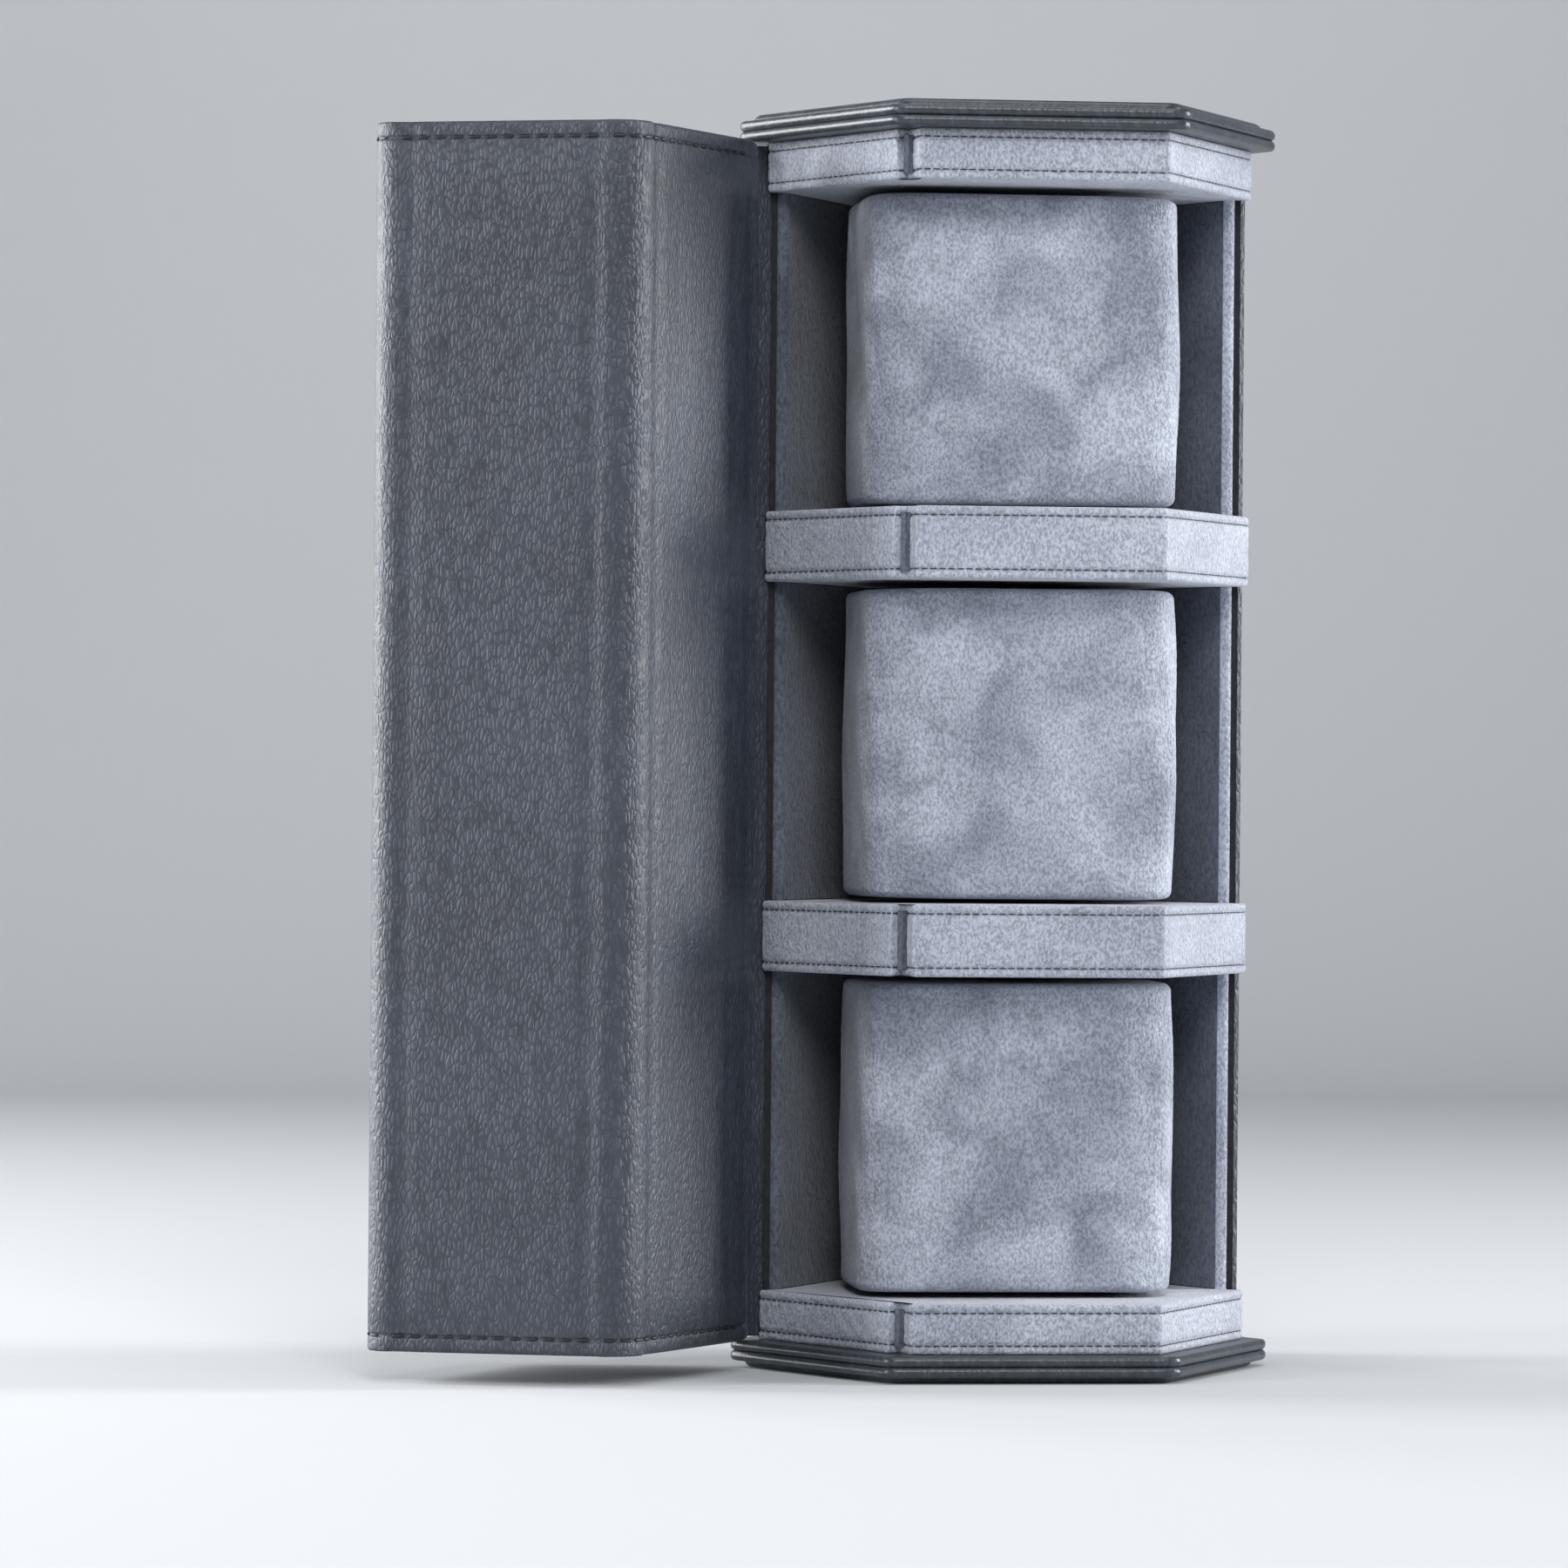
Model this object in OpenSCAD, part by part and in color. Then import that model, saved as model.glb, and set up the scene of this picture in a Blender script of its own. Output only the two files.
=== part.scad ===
/* [Tray cross-section] */
// Half width of the hexagon, centre to side corner
corner_half_w = 47.5; // [44:0.5:52]
// Half width of the flat front and back faces
face_half_w = 24.9; // [23:0.1:27]
// Half depth of the hexagon, centre to front face
half_depth = 40; // [37:0.5:44]

/* [Heights] */
// Height of the open bay that holds one watch cushion
bay_h = 61; // [58:0.5:66]
// Thickness of the padded block against each end cap
end_block_t = 9.5; // [8:0.5:12]
// Thickness of each divider between two bays
divider_t = 13.5; // [11:0.5:16]
// Thickness of the leather covered end cap
cap_t = 4; // [3:0.25:5]
// Thickness of the padded face outside each end cap
cap_pad_t = 1.2; // [0.8:0.1:2]

/* [End caps] */
// How far each end cap stands out past the dividers
cap_overhang = 4.2; // [4:0.1:6]
// Rounding of the end cap's rim
cap_round = 1.1; // [0.6:0.1:1.5]
// How far the padded face is set in from the cap's rim
cap_pad_inset = 2.4; // [1.6:0.1:4]

/* [Tray wall] */
// Thickness of the outer leather
leather_t = 1; // [0.8:0.1:1.2]
// Thickness of the stiff board in each tray wall
wall_board_t = 2.2; // [1.8:0.1:2.8]
// Thickness of the velvet lining
lining_t = 0.8; // [0.6:0.1:1]
// Set back of the walls' front edges behind the side corners
wall_setback = 1.6; // [1:0.2:3]

/* [Divider covering] */
// Thickness of the velvet covering round each divider's core
velvet_t = 1.2; // [0.8:0.1:1.6]
// Width of the groove where the covering's ends meet
groove_w = 2.6; // [2:0.1:3.5]
// Depth of that groove
groove_depth = 2; // [1.4:0.1:2.4]
// How far the left face of each divider is set in
left_face_inset = 0.9; // [0.4:0.1:1.2]

/* [Cushions] */
// Half width of a cushion
cushion_half_w = 31; // [28:0.5:32]
// Half depth of a cushion
cushion_half_d = 21; // [18:0.5:22]
// How far the cushion's front lies behind the dividers' fronts
watch_space = 14; // [12:0.5:16]
// Gap between a cushion and the divider above it
cushion_gap = 0.9; // [0.6:0.1:1.5]
// Gap under a cushion
seat_gap = 0.3; // [0.2:0.05:0.4]
// Draw in of a cushion's top and bottom rims
cushion_draw = 1.8; // [1:0.1:2.5]

/* [Wrap cover] */
// Pitch of the wrap's folds
panel_w = 51; // [50:0.5:53]
// Width of the closing panel, fold to free edge
last_panel_w = 49; // [46:0.5:50]
// Thickness of the stiff board in each wrap panel
wrap_board_t = 1.6; // [1.2:0.1:1.8]
// Gap between the wrap's ends and the end caps
wrap_end_gap = 0.6; // [0.4:0.1:1]
// Set back of the boards from a fold
fold_setback = 4.2; // [4.2:0.1:5]
// Set back of the first board from the hinge at the tray
hinge_setback = 2.2; // [2:0.1:3]
// Direction of the first panel, from the hinge
panel_1_dir = 170; // [166:1:174]
// Turn at the second fold
turn_2 = 71; // [66:1:74]
// Turn at the third fold
turn_3 = 100; // [94:1:102]
// Turn at the fourth fold
turn_4 = 76; // [72:1:80]

/* [Magnets] */
// Radius of a closing magnet
magnet_r = 4; // [3:0.5:5]
// Radial clearance round a magnet
magnet_clearance = 0.1; // [0.05:0.05:0.2]
// Height of a magnet from mid height to the outer ones
magnet_pitch = 80; // [60:5:95]
// Share of the tray's side wall from its front corner to the magnets
magnet_share = 0.72; // [0.6:0.02:0.75]

/* [Hidden] */
round_fn = 48;
leather_color = "slategray";
velvet_color = "lightsteelblue";
board_color = "burlywood";

// Levels, from the face the roll stands on upwards
cap_z = cap_pad_t;
block_z = cap_z + cap_t;
bay_1_z = block_z + end_block_t;
divider_1_z = bay_1_z + bay_h;
bay_2_z = divider_1_z + divider_t;
divider_2_z = bay_2_z + bay_h;
bay_3_z = divider_2_z + divider_t;
top_block_z = bay_3_z + bay_h;
top_cap_z = top_block_z + end_block_t;
top_pad_z = top_cap_z + cap_t;
inner_h = top_cap_z - block_z;

// The slanted faces: run over rise, and length over rise
side_run = (corner_half_w - face_half_w) / half_depth;
side_len = sqrt(1 + side_run * side_run);

// Half width of the hexagon at depth y, set in by d
function half_w_at(y, d) = corner_half_w - d * side_len - side_run * abs(y);
function inset_h(d) = half_depth - d;
function inset_face(d) = half_w_at(inset_h(d), d);

// Hexagon set in by d, counter-clockwise from the left corner
function hexagon(d) = [
    [-half_w_at(0, d), 0],
    [-inset_face(d), -inset_h(d)],
    [inset_face(d), -inset_h(d)],
    [half_w_at(0, d), 0],
    [inset_face(d), inset_h(d)],
    [-inset_face(d), inset_h(d)]
];

// Divider outline: front half set in by front_d, back half set in by back_d
core_inset = leather_t + wall_board_t;
groove_edge = -inset_face(0) + groove_w / 2;
groove_left = [-half_w_at(half_depth - groove_w, left_face_inset), -half_depth + groove_w];
function divider_outline(d) = [
    [-half_w_at(0, left_face_inset + d), wall_setback / 2],
    [-half_w_at(0, left_face_inset + d), 0],
    groove_left + [d, d],
    groove_left + [groove_depth + d, groove_depth / 2 + d],
    [groove_edge + d, -half_depth + groove_depth + d],
    [groove_edge + d, -half_depth + d],
    [inset_face(d), -half_depth + d],
    [half_w_at(0, d), 0],
    [half_w_at(0, d), wall_setback / 2],
    [half_w_at(wall_setback / 2, core_inset + d), wall_setback / 2],
    [inset_face(core_inset + d), inset_h(core_inset + d)],
    [-inset_face(core_inset + d), inset_h(core_inset + d)],
    [-half_w_at(wall_setback / 2, core_inset + d), wall_setback / 2]
];

module divider_core(z, t) {
    translate([0, 0, z + velvet_t])
        linear_extrude(t - 2 * velvet_t)
            polygon(divider_outline(velvet_t));
}

module divider_cover(z, t) {
    difference() {
        translate([0, 0, z])
            linear_extrude(t)
                polygon(divider_outline(0));
        divider_core(z, t);
    }
}

// End cap with a rounded rim
module end_cap(z) {
    color(leather_color)
        hull() {
            translate([0, 0, z])
                linear_extrude(cap_t)
                    polygon(hexagon(cap_round - cap_overhang));
            translate([0, 0, z + cap_round])
                linear_extrude(cap_t - 2 * cap_round)
                    polygon(hexagon(-cap_overhang));
        }
}

module cap_pad(z) {
    color(leather_color)
        translate([0, 0, z])
            linear_extrude(cap_pad_t)
                polygon(hexagon(cap_pad_inset - cap_overhang));
}

module bottom_cap_pad() {
    cap_pad(0);
}

module bottom_cap() {
    end_cap(cap_z);
}

module top_cap() {
    end_cap(top_cap_z);
}

module top_cap_pad() {
    cap_pad(top_pad_z);
}

module bottom_block_core() {
    color(board_color) divider_core(block_z, end_block_t);
}

module bottom_block_cover() {
    color(velvet_color) divider_cover(block_z, end_block_t);
}

module top_block_core() {
    color(board_color) divider_core(top_block_z, end_block_t);
}

module top_block_cover() {
    color(velvet_color) divider_cover(top_block_z, end_block_t);
}

module lower_divider_core() {
    color(board_color) divider_core(divider_1_z, divider_t);
}

module lower_divider_cover() {
    color(velvet_color) divider_cover(divider_1_z, divider_t);
}

module upper_divider_core() {
    color(board_color) divider_core(divider_2_z, divider_t);
}

module upper_divider_cover() {
    color(velvet_color) divider_cover(divider_2_z, divider_t);
}

// Points of the slanted right wall between two insets, front edge first
function side_wall(d0, d1) = [
    [half_w_at(wall_setback, d0), wall_setback],
    [inset_face(d0), inset_h(d0)],
    [inset_face(d1), inset_h(d1)],
    [half_w_at(wall_setback, d1), wall_setback]
];
function back_wall(d0, d1) = [
    [inset_face(d0), inset_h(d0)],
    [-inset_face(d0), inset_h(d0)],
    [-inset_face(d1), inset_h(d1)],
    [inset_face(d1), inset_h(d1)]
];

// Magnet places on the right wall, measured from its front corner
side_normal = [1, side_run] / side_len;
side_along = [-side_run, 1] / side_len;
magnet_along = magnet_share * half_depth * side_len;
tray_magnet_at = [corner_half_w, 0] + side_along * magnet_along - side_normal * leather_t;
magnet_heights = [for (i = [-1:1]) block_z + inner_h / 2 + i * magnet_pitch];

// Discs through the right wall's board, grown by c and made longer by e
module tray_magnet_discs(c, e) {
    for (z = magnet_heights)
        translate([tray_magnet_at[0], tray_magnet_at[1], z])
            rotate([0, 0, atan2(side_normal[1], side_normal[0])])
                rotate([0, -90, 0])
                    translate([0, 0, -e])
                        cylinder(r = magnet_r + c, h = wall_board_t + 2 * e, $fn = round_fn);
}

module wall_panel(points) {
    translate([0, 0, block_z])
        linear_extrude(inner_h)
            polygon(points);
}

module right_wall_board() {
    color(board_color)
        difference() {
            wall_panel(side_wall(leather_t, core_inset));
            tray_magnet_discs(magnet_clearance, 0.5);
        }
}

module left_wall_board() {
    color(board_color)
        mirror([1, 0, 0])
            wall_panel(side_wall(leather_t, core_inset));
}

module back_wall_board() {
    color(board_color) wall_panel(back_wall(leather_t, core_inset));
}

module tray_magnets() {
    color("silver") tray_magnet_discs(0, 0);
}

// Open ring round the back of the tray between two insets
module back_ring(d0, d1) {
    polygon([
        [-half_w_at(wall_setback, d0), wall_setback],
        [-half_w_at(wall_setback, d1), wall_setback],
        [-inset_face(d1), inset_h(d1)],
        [inset_face(d1), inset_h(d1)],
        [half_w_at(wall_setback, d1), wall_setback],
        [half_w_at(wall_setback, d0), wall_setback],
        [inset_face(d0), inset_h(d0)],
        [-inset_face(d0), inset_h(d0)]
    ]);
}

module tray_leather() {
    color(leather_color)
        translate([0, 0, block_z])
            linear_extrude(inner_h)
                back_ring(0, leather_t);
}

module bay_lining(z) {
    color(velvet_color)
        translate([0, 0, z])
            linear_extrude(bay_h)
                back_ring(core_inset, core_inset + lining_t);
}

module lower_bay_lining() {
    bay_lining(bay_1_z);
}

module middle_bay_lining() {
    bay_lining(bay_2_z);
}

module upper_bay_lining() {
    bay_lining(bay_3_z);
}

// Cushion: rounded rectangle rings, drawn in at the top and bottom rims
cushion_h = bay_h - seat_gap - cushion_gap;
cushion_y = -half_depth + watch_space + cushion_half_d;
ring_n = 44;
ring_steps = 12;
outline_power = 0.45;
crown = 0.6;
function sign_pow(v, p) = sign(v) * pow(abs(v), p);
// Share of the height at ring i, closer together near the rims
function ring_share(i) = (1 - cos(180 * i / ring_steps)) / 2;
function ring_draw(s) = cushion_draw * pow(abs(2 * s - 1), 14) + crown * pow(2 * s - 1, 2);
function cushion_ring(s) = [
    for (k = [0:ring_n - 1])
        let (a = 360 * k / ring_n, d = ring_draw(s))
        [
            (cushion_half_w - d) * sign_pow(cos(a), outline_power),
            (cushion_half_d - d) * sign_pow(sin(a), outline_power),
            cushion_h * s
        ]
];

module cushion(z) {
    rings = [for (i = [0:ring_steps]) each cushion_ring(ring_share(i))];
    sides = [
        for (i = [0:ring_steps - 1], k = [0:ring_n - 1])
            let (a = i * ring_n + k, b = i * ring_n + (k + 1) % ring_n)
            each [[a, a + ring_n, b], [b, a + ring_n, b + ring_n]]
    ];
    base = [for (k = [1:ring_n - 2]) [0, k, k + 1]];
    last = ring_steps * ring_n;
    lid = [for (k = [1:ring_n - 2]) [last, last + k + 1, last + k]];
    color(velvet_color)
        translate([0, cushion_y, z + seat_gap])
            polyhedron(points = rings, faces = concat(base, sides, lid));
}

module lower_cushion() {
    cushion(bay_1_z);
}

module middle_cushion() {
    cushion(bay_2_z);
}

module upper_cushion() {
    cushion(bay_3_z);
}

// The wrap: four stiff panels in a chain of folds, each fold on the leather's mid line
wrap_t = leather_t / 2 + wrap_board_t + lining_t;
wrap_z = block_z + wrap_end_gap;
wrap_h = inner_h - 2 * wrap_end_gap;
hinge_out = wrap_t * 0.5 + 0.6;
dir_1 = panel_1_dir;
dir_2 = dir_1 + turn_2;
dir_3 = dir_2 + turn_3;
dir_4 = dir_3 + turn_4;
function heading(a) = [cos(a), sin(a)];
fold_1 = [-corner_half_w - hinge_out * side_len, 0];
fold_2 = fold_1 + panel_w * heading(dir_1);
fold_3 = fold_2 + panel_w * heading(dir_2);
fold_4 = fold_3 + panel_w * heading(dir_3);

// A slab of one panel: u along it from its fold, v inwards from the leather's mid line
module panel_slab(at, dir, u0, u1, v0, v1) {
    translate([at[0], at[1], wrap_z])
        rotate([0, 0, dir])
            translate([u0, v0, 0])
                cube([u1 - u0, v1 - v0, wrap_h]);
}

module panel_leather(at, dir, u0, u1) {
    color(leather_color)
        panel_slab(at, dir, u0, u1, -leather_t / 2, leather_t / 2);
}

module panel_board(at, dir, u0, u1) {
    color(board_color)
        panel_slab(at, dir, u0, u1, leather_t / 2, leather_t / 2 + wrap_board_t);
}

module panel_lining(at, dir, u0, u1) {
    color(velvet_color)
        panel_slab(at, dir, u0, u1, leather_t / 2 + wrap_board_t, wrap_t);
}

module panel_1_board() {
    panel_board(fold_1, dir_1, hinge_setback, panel_w - fold_setback);
}

module panel_1_leather() {
    panel_leather(fold_1, dir_1, hinge_setback, panel_w - fold_setback);
}

module panel_1_lining() {
    panel_lining(fold_1, dir_1, hinge_setback, panel_w - fold_setback);
}

module panel_2_board() {
    panel_board(fold_2, dir_2, fold_setback, panel_w - fold_setback);
}

module panel_2_leather() {
    panel_leather(fold_2, dir_2, fold_setback, panel_w - fold_setback);
}

module panel_2_lining() {
    panel_lining(fold_2, dir_2, fold_setback, panel_w - fold_setback);
}

module panel_3_board() {
    panel_board(fold_3, dir_3, fold_setback, panel_w - fold_setback);
}

module panel_3_leather() {
    panel_leather(fold_3, dir_3, fold_setback, panel_w - fold_setback);
}

module panel_3_lining() {
    panel_lining(fold_3, dir_3, fold_setback, panel_w - fold_setback);
}

// Discs through the closing panel's board, grown by c and made longer by e
module wrap_magnet_discs(c, e) {
    for (z = magnet_heights)
        translate([fold_4[0], fold_4[1], z])
            rotate([0, 0, dir_4])
                translate([magnet_along, leather_t / 2 - e, 0])
                    rotate([-90, 0, 0])
                        cylinder(r = magnet_r + c, h = wrap_board_t + 2 * e, $fn = round_fn);
}

module panel_4_board() {
    color(board_color)
        difference() {
            panel_board(fold_4, dir_4, fold_setback, last_panel_w);
            wrap_magnet_discs(magnet_clearance, 0.5);
        }
}

module panel_4_leather() {
    panel_leather(fold_4, dir_4, fold_setback, last_panel_w);
}

module panel_4_lining() {
    panel_lining(fold_4, dir_4, fold_setback, last_panel_w);
}

module wrap_magnets() {
    color("silver") wrap_magnet_discs(0, 0);
}

// Leather round a fold: an arc that meets both panels squarely
arc_steps = 10;
module fold_strip(at, dir_in, turn) {
    r = fold_setback / tan(turn / 2);
    start = at - fold_setback * heading(dir_in);
    centre = start + r * heading(dir_in + 90);
    function arc_at(rad, k) = centre + rad * heading(dir_in - 90 + turn * k / arc_steps);
    color(leather_color)
        translate([0, 0, wrap_z])
            linear_extrude(wrap_h)
                polygon(concat(
                    [for (k = [0:arc_steps]) arc_at(r + leather_t / 2, k)],
                    [for (k = [arc_steps:-1:0]) arc_at(r - leather_t / 2, k)]
                ));
}

module fold_2_strip() {
    fold_strip(fold_2, dir_1, turn_2);
}

module fold_3_strip() {
    fold_strip(fold_3, dir_2, turn_3);
}

module fold_4_strip() {
    fold_strip(fold_4, dir_3, turn_4);
}

// Leather from the tray's left front edge to the first panel
module hinge_strip() {
    edge_out = [-half_w_at(wall_setback, 0), wall_setback];
    edge_in = [-half_w_at(wall_setback, leather_t), wall_setback];
    side = leather_t / 2 * heading(dir_1 + 90);
    meet = fold_1 + hinge_setback * heading(dir_1);
    color(leather_color)
        translate([0, 0, wrap_z])
            linear_extrude(wrap_h)
                polygon([edge_in, edge_out, fold_1 - side, meet - side, meet + side, fold_1 + side]);
}

bottom_cap_pad();
bottom_cap();
top_cap();
top_cap_pad();
bottom_block_core();
bottom_block_cover();
top_block_core();
top_block_cover();
lower_divider_core();
lower_divider_cover();
upper_divider_core();
upper_divider_cover();
left_wall_board();
back_wall_board();
right_wall_board();
tray_leather();
lower_bay_lining();
middle_bay_lining();
upper_bay_lining();
tray_magnets();
lower_cushion();
middle_cushion();
upper_cushion();
panel_1_board();
panel_1_leather();
panel_1_lining();
panel_2_board();
panel_2_leather();
panel_2_lining();
panel_3_board();
panel_3_leather();
panel_3_lining();
panel_4_board();
panel_4_leather();
panel_4_lining();
wrap_magnets();
hinge_strip();
fold_2_strip();
fold_3_strip();
fold_4_strip();
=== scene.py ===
import math

import bmesh
import bpy
import numpy as np
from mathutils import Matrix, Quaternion, Vector


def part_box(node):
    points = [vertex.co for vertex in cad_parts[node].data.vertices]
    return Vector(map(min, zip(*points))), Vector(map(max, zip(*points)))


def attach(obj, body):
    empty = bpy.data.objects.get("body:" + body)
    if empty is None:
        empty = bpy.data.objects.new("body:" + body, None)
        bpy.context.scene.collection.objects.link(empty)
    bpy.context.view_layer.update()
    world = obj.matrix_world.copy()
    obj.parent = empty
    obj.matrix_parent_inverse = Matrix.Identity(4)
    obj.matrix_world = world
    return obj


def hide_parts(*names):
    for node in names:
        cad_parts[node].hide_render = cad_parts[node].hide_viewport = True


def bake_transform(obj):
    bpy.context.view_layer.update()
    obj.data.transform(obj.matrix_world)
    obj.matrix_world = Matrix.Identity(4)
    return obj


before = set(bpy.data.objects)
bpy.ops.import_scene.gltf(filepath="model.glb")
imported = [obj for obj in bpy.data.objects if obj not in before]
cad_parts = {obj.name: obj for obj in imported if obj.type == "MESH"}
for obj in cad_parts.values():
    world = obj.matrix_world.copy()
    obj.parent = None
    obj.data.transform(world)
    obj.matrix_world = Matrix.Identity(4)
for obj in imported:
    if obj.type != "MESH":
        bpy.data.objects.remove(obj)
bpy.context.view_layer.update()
print("frame loaded")

mm = 0.001

# Sizes of the tray, in millimetres, as the frame holds them
tray = {
    "cornerHalfW": 47.5,
    "faceHalfW": 24.9,
    "halfDepth": 40.0,
    "wallSetback": 1.6,
    "leather": 1.0,
    "coreInset": 3.2,
    "lining": 0.8,
    "leatherCorner": 3.0,
    "liningCorner": 1.6,
    "endGap": 0.05,
    "leatherRound": 0.45,
    "liningRound": 0.2,
    "liningGap": 0.02,
    "firstStitch": 3.0,
    "cornerSteps": 9,
    "pathStep": 2.0,
}
sideRun = (tray["cornerHalfW"] - tray["faceHalfW"]) / tray["halfDepth"]
sideLen = math.sqrt(1 + sideRun ** 2)


def nodeZ(node):
    low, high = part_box(node)
    return low.z / mm, high.z / mm


def halfWidthAt(y, inset):
    return tray["cornerHalfW"] - inset * sideLen - sideRun * abs(y)


def hexagon(inset):
    # Six corners of the tray's cross-section, set in by inset, counter-clockwise from the left
    h = tray["halfDepth"] - inset
    face = halfWidthAt(h, inset)
    side = halfWidthAt(0, inset)
    return np.array([[-side, 0], [-face, -h], [face, -h], [side, 0], [face, h], [-face, h]])


# Mesh making: points are in millimetres until makePiece turns them into metres

def makePiece(name, verts, faces, material, smoothAngle=40):
    # Normals are turned outwards, and corners sharper than smoothAngle stay sharp
    mesh = bpy.data.meshes.new(name)
    mesh.from_pydata((np.asarray(verts) * mm).tolist(), [], [list(f) for f in faces])
    piece = bpy.data.objects.new(name, mesh)
    bpy.context.scene.collection.objects.link(piece)
    bm = bmesh.new()
    bm.from_mesh(mesh)
    bmesh.ops.recalc_face_normals(bm, faces=bm.faces)
    bm.to_mesh(mesh)
    bm.free()
    mesh.shade_smooth()
    mesh.set_sharp_from_angle(angle=math.radians(smoothAngle))
    mesh.materials.append(material)
    return piece


def gridFaces(rows, cols, wrapCols):
    # Quads between neighbouring rows of a grid, and round to the first column where it closes
    r = np.arange(rows - 1)[:, None]
    c = np.arange(cols if wrapCols else cols - 1)[None, :]
    nextC = (c + 1) % cols
    a = r * cols + c
    b = r * cols + nextC
    quads = np.stack([a, b, b + cols, a + cols], axis=-1)
    return quads.reshape(-1, 4).tolist()


def tubeFaces(rows, cols):
    # Quads round a tube, and one face over each of its ends
    ends = [list(range(cols)), list(range((rows - 1) * cols, rows * cols))[::-1]]
    return gridFaces(rows, cols, True) + ends


def sweepProfile(name, path, normals, profile, material, smoothAngle=40):
    # A closed profile of (offset, height) carried along a path: point = path + normal x offset
    n, m = len(path), len(profile)
    xy = path[:, None, :] + normals[:, None, :] * profile[None, :, :1]
    z = np.broadcast_to(profile[None, :, 1:], (n, m, 1))
    verts = np.concatenate([xy, z], axis=2).reshape(-1, 3)
    return makePiece(name, verts, tubeFaces(n, m), material, smoothAngle)


def roundCorners(points, radius, steps=8):
    # Each corner of a closed polygon becomes an arc that meets both of its sides:
    # its ends lie radius / tan(half the corner) along them, and never past mostOfSide of a side
    mostOfSide = 0.45
    n = len(points)
    out = []
    for i in range(n):
        p = points[i]
        a = points[i - 1] - p
        b = points[(i + 1) % n] - p
        la, lb = np.linalg.norm(a), np.linalg.norm(b)
        a, b = a / la, b / lb
        half = math.acos(float(np.clip(a @ b, -1, 1))) / 2
        cut = min(radius / math.tan(half), mostOfSide * la, mostOfSide * lb)
        r = cut * math.tan(half)
        middle = (a + b) / np.linalg.norm(a + b)
        centre = p + middle * (r / math.sin(half))
        s, e = p + a * cut - centre, p + b * cut - centre
        turn = math.atan2(s[0] * e[1] - s[1] * e[0], s @ e)
        t = np.linspace(0, turn, steps)
        cosT, sinT = np.cos(t), np.sin(t)
        ring = np.stack([s[0] * cosT - s[1] * sinT, s[0] * sinT + s[1] * cosT], 1)
        out.append(centre + ring)
    return np.concatenate(out)


def resampleLoop(points, spacing):
    # The same closed outline with evenly spaced points
    closed = np.vstack([points, points[:1]])
    gap = np.linalg.norm(np.diff(closed, axis=0), axis=1)
    run = np.concatenate([[0], np.cumsum(gap)])
    fewest = 12
    count = max(fewest, int(run[-1] / spacing))
    at = np.linspace(0, run[-1], count, endpoint=False)
    return np.stack([np.interp(at, run, closed[:, k]) for k in (0, 1)], 1)


def loopNormals(points):
    # Outward normals of a closed outline, from the chord between each point's neighbours
    chord = np.roll(points, -1, axis=0) - np.roll(points, 1, axis=0)
    normal = np.stack([chord[:, 1], -chord[:, 0]], 1)
    normal /= np.linalg.norm(normal, axis=1)[:, None]
    x, y = points[:, 0], points[:, 1]
    area = np.sum(x * np.roll(y, -1) - np.roll(x, -1) * y)
    return normal * np.sign(area)


# Ripples in cloth drawn over a core: two waves along the outline that shift with height
rippleWave = {"fine": 0.61, "fineShift": 1.7, "slow": 0.23, "slowShift": 0.9, "slowStart": 1.3,
              "napSeed": 11}


def loftOutline(name, outline, levels, material, ripple=0.0, nap=0.0, smoothAngle=50):
    # Rings of one outline, drawn in by inset + ripple x the mean of two waves
    # + nap x a random share
    normal = loopNormals(outline)
    count = len(outline)
    k = np.arange(count)
    draw = np.random.default_rng(rippleWave["napSeed"])
    rings = []
    for inset, z in levels:
        fine = np.sin(k * rippleWave["fine"] + z * rippleWave["fineShift"])
        slowAt = k * rippleWave["slow"] - z * rippleWave["slowShift"]
        slow = np.sin(slowAt + rippleWave["slowStart"])
        wave = ripple * (fine + slow) / 2 + nap * draw.uniform(0, 1, count)
        xy = outline - normal * (inset + wave)[:, None]
        rings.append(np.column_stack([xy, np.full(count, z)]))
    faces = tubeFaces(len(rings), count)
    return makePiece(name, np.concatenate(rings), faces, material, smoothAngle)


bandShape = {"chamfer": 0.15, "plainFrom": 12, "plainRows": 5, "grooveSteps": 7}


def roundedBand(low, high, outer, inner, radius, groove=None, steps=6):
    # A closed profile: rounded outer edges, a stitch groove near each end, a flat inner face.
    # A groove's depth at a share of its width is depth x the squared cosine of share x a
    # quarter turn
    chamfer = bandShape["chamfer"]
    t = np.linspace(0, math.pi / 2, steps)
    turnOut = outer - radius
    points = [[inner, low + chamfer], [inner + chamfer, low]]
    points += [[turnOut + radius * math.sin(a), low + radius - radius * math.cos(a)] for a in t]
    if groove:
        at, depth, width = groove
        share = np.linspace(-1, 1, bandShape["grooveSteps"])
        dip = depth * np.cos(share * math.pi / 2) ** 2
        points += [[outer - d, low + at + s * width] for s, d in zip(share, dip)]
    plainFrom = bandShape["plainFrom"]
    plain = np.linspace(low + plainFrom, high - plainFrom, bandShape["plainRows"])
    points += [[outer, z] for z in plain]
    if groove:
        points += [[outer - d, high - at + s * width] for s, d in zip(share, dip)]
    points += [[turnOut + radius * math.cos(a), high - radius + radius * math.sin(a)] for a in t]
    points += [[inner + chamfer, high], [inner, high - chamfer]]
    return np.array(points)


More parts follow.
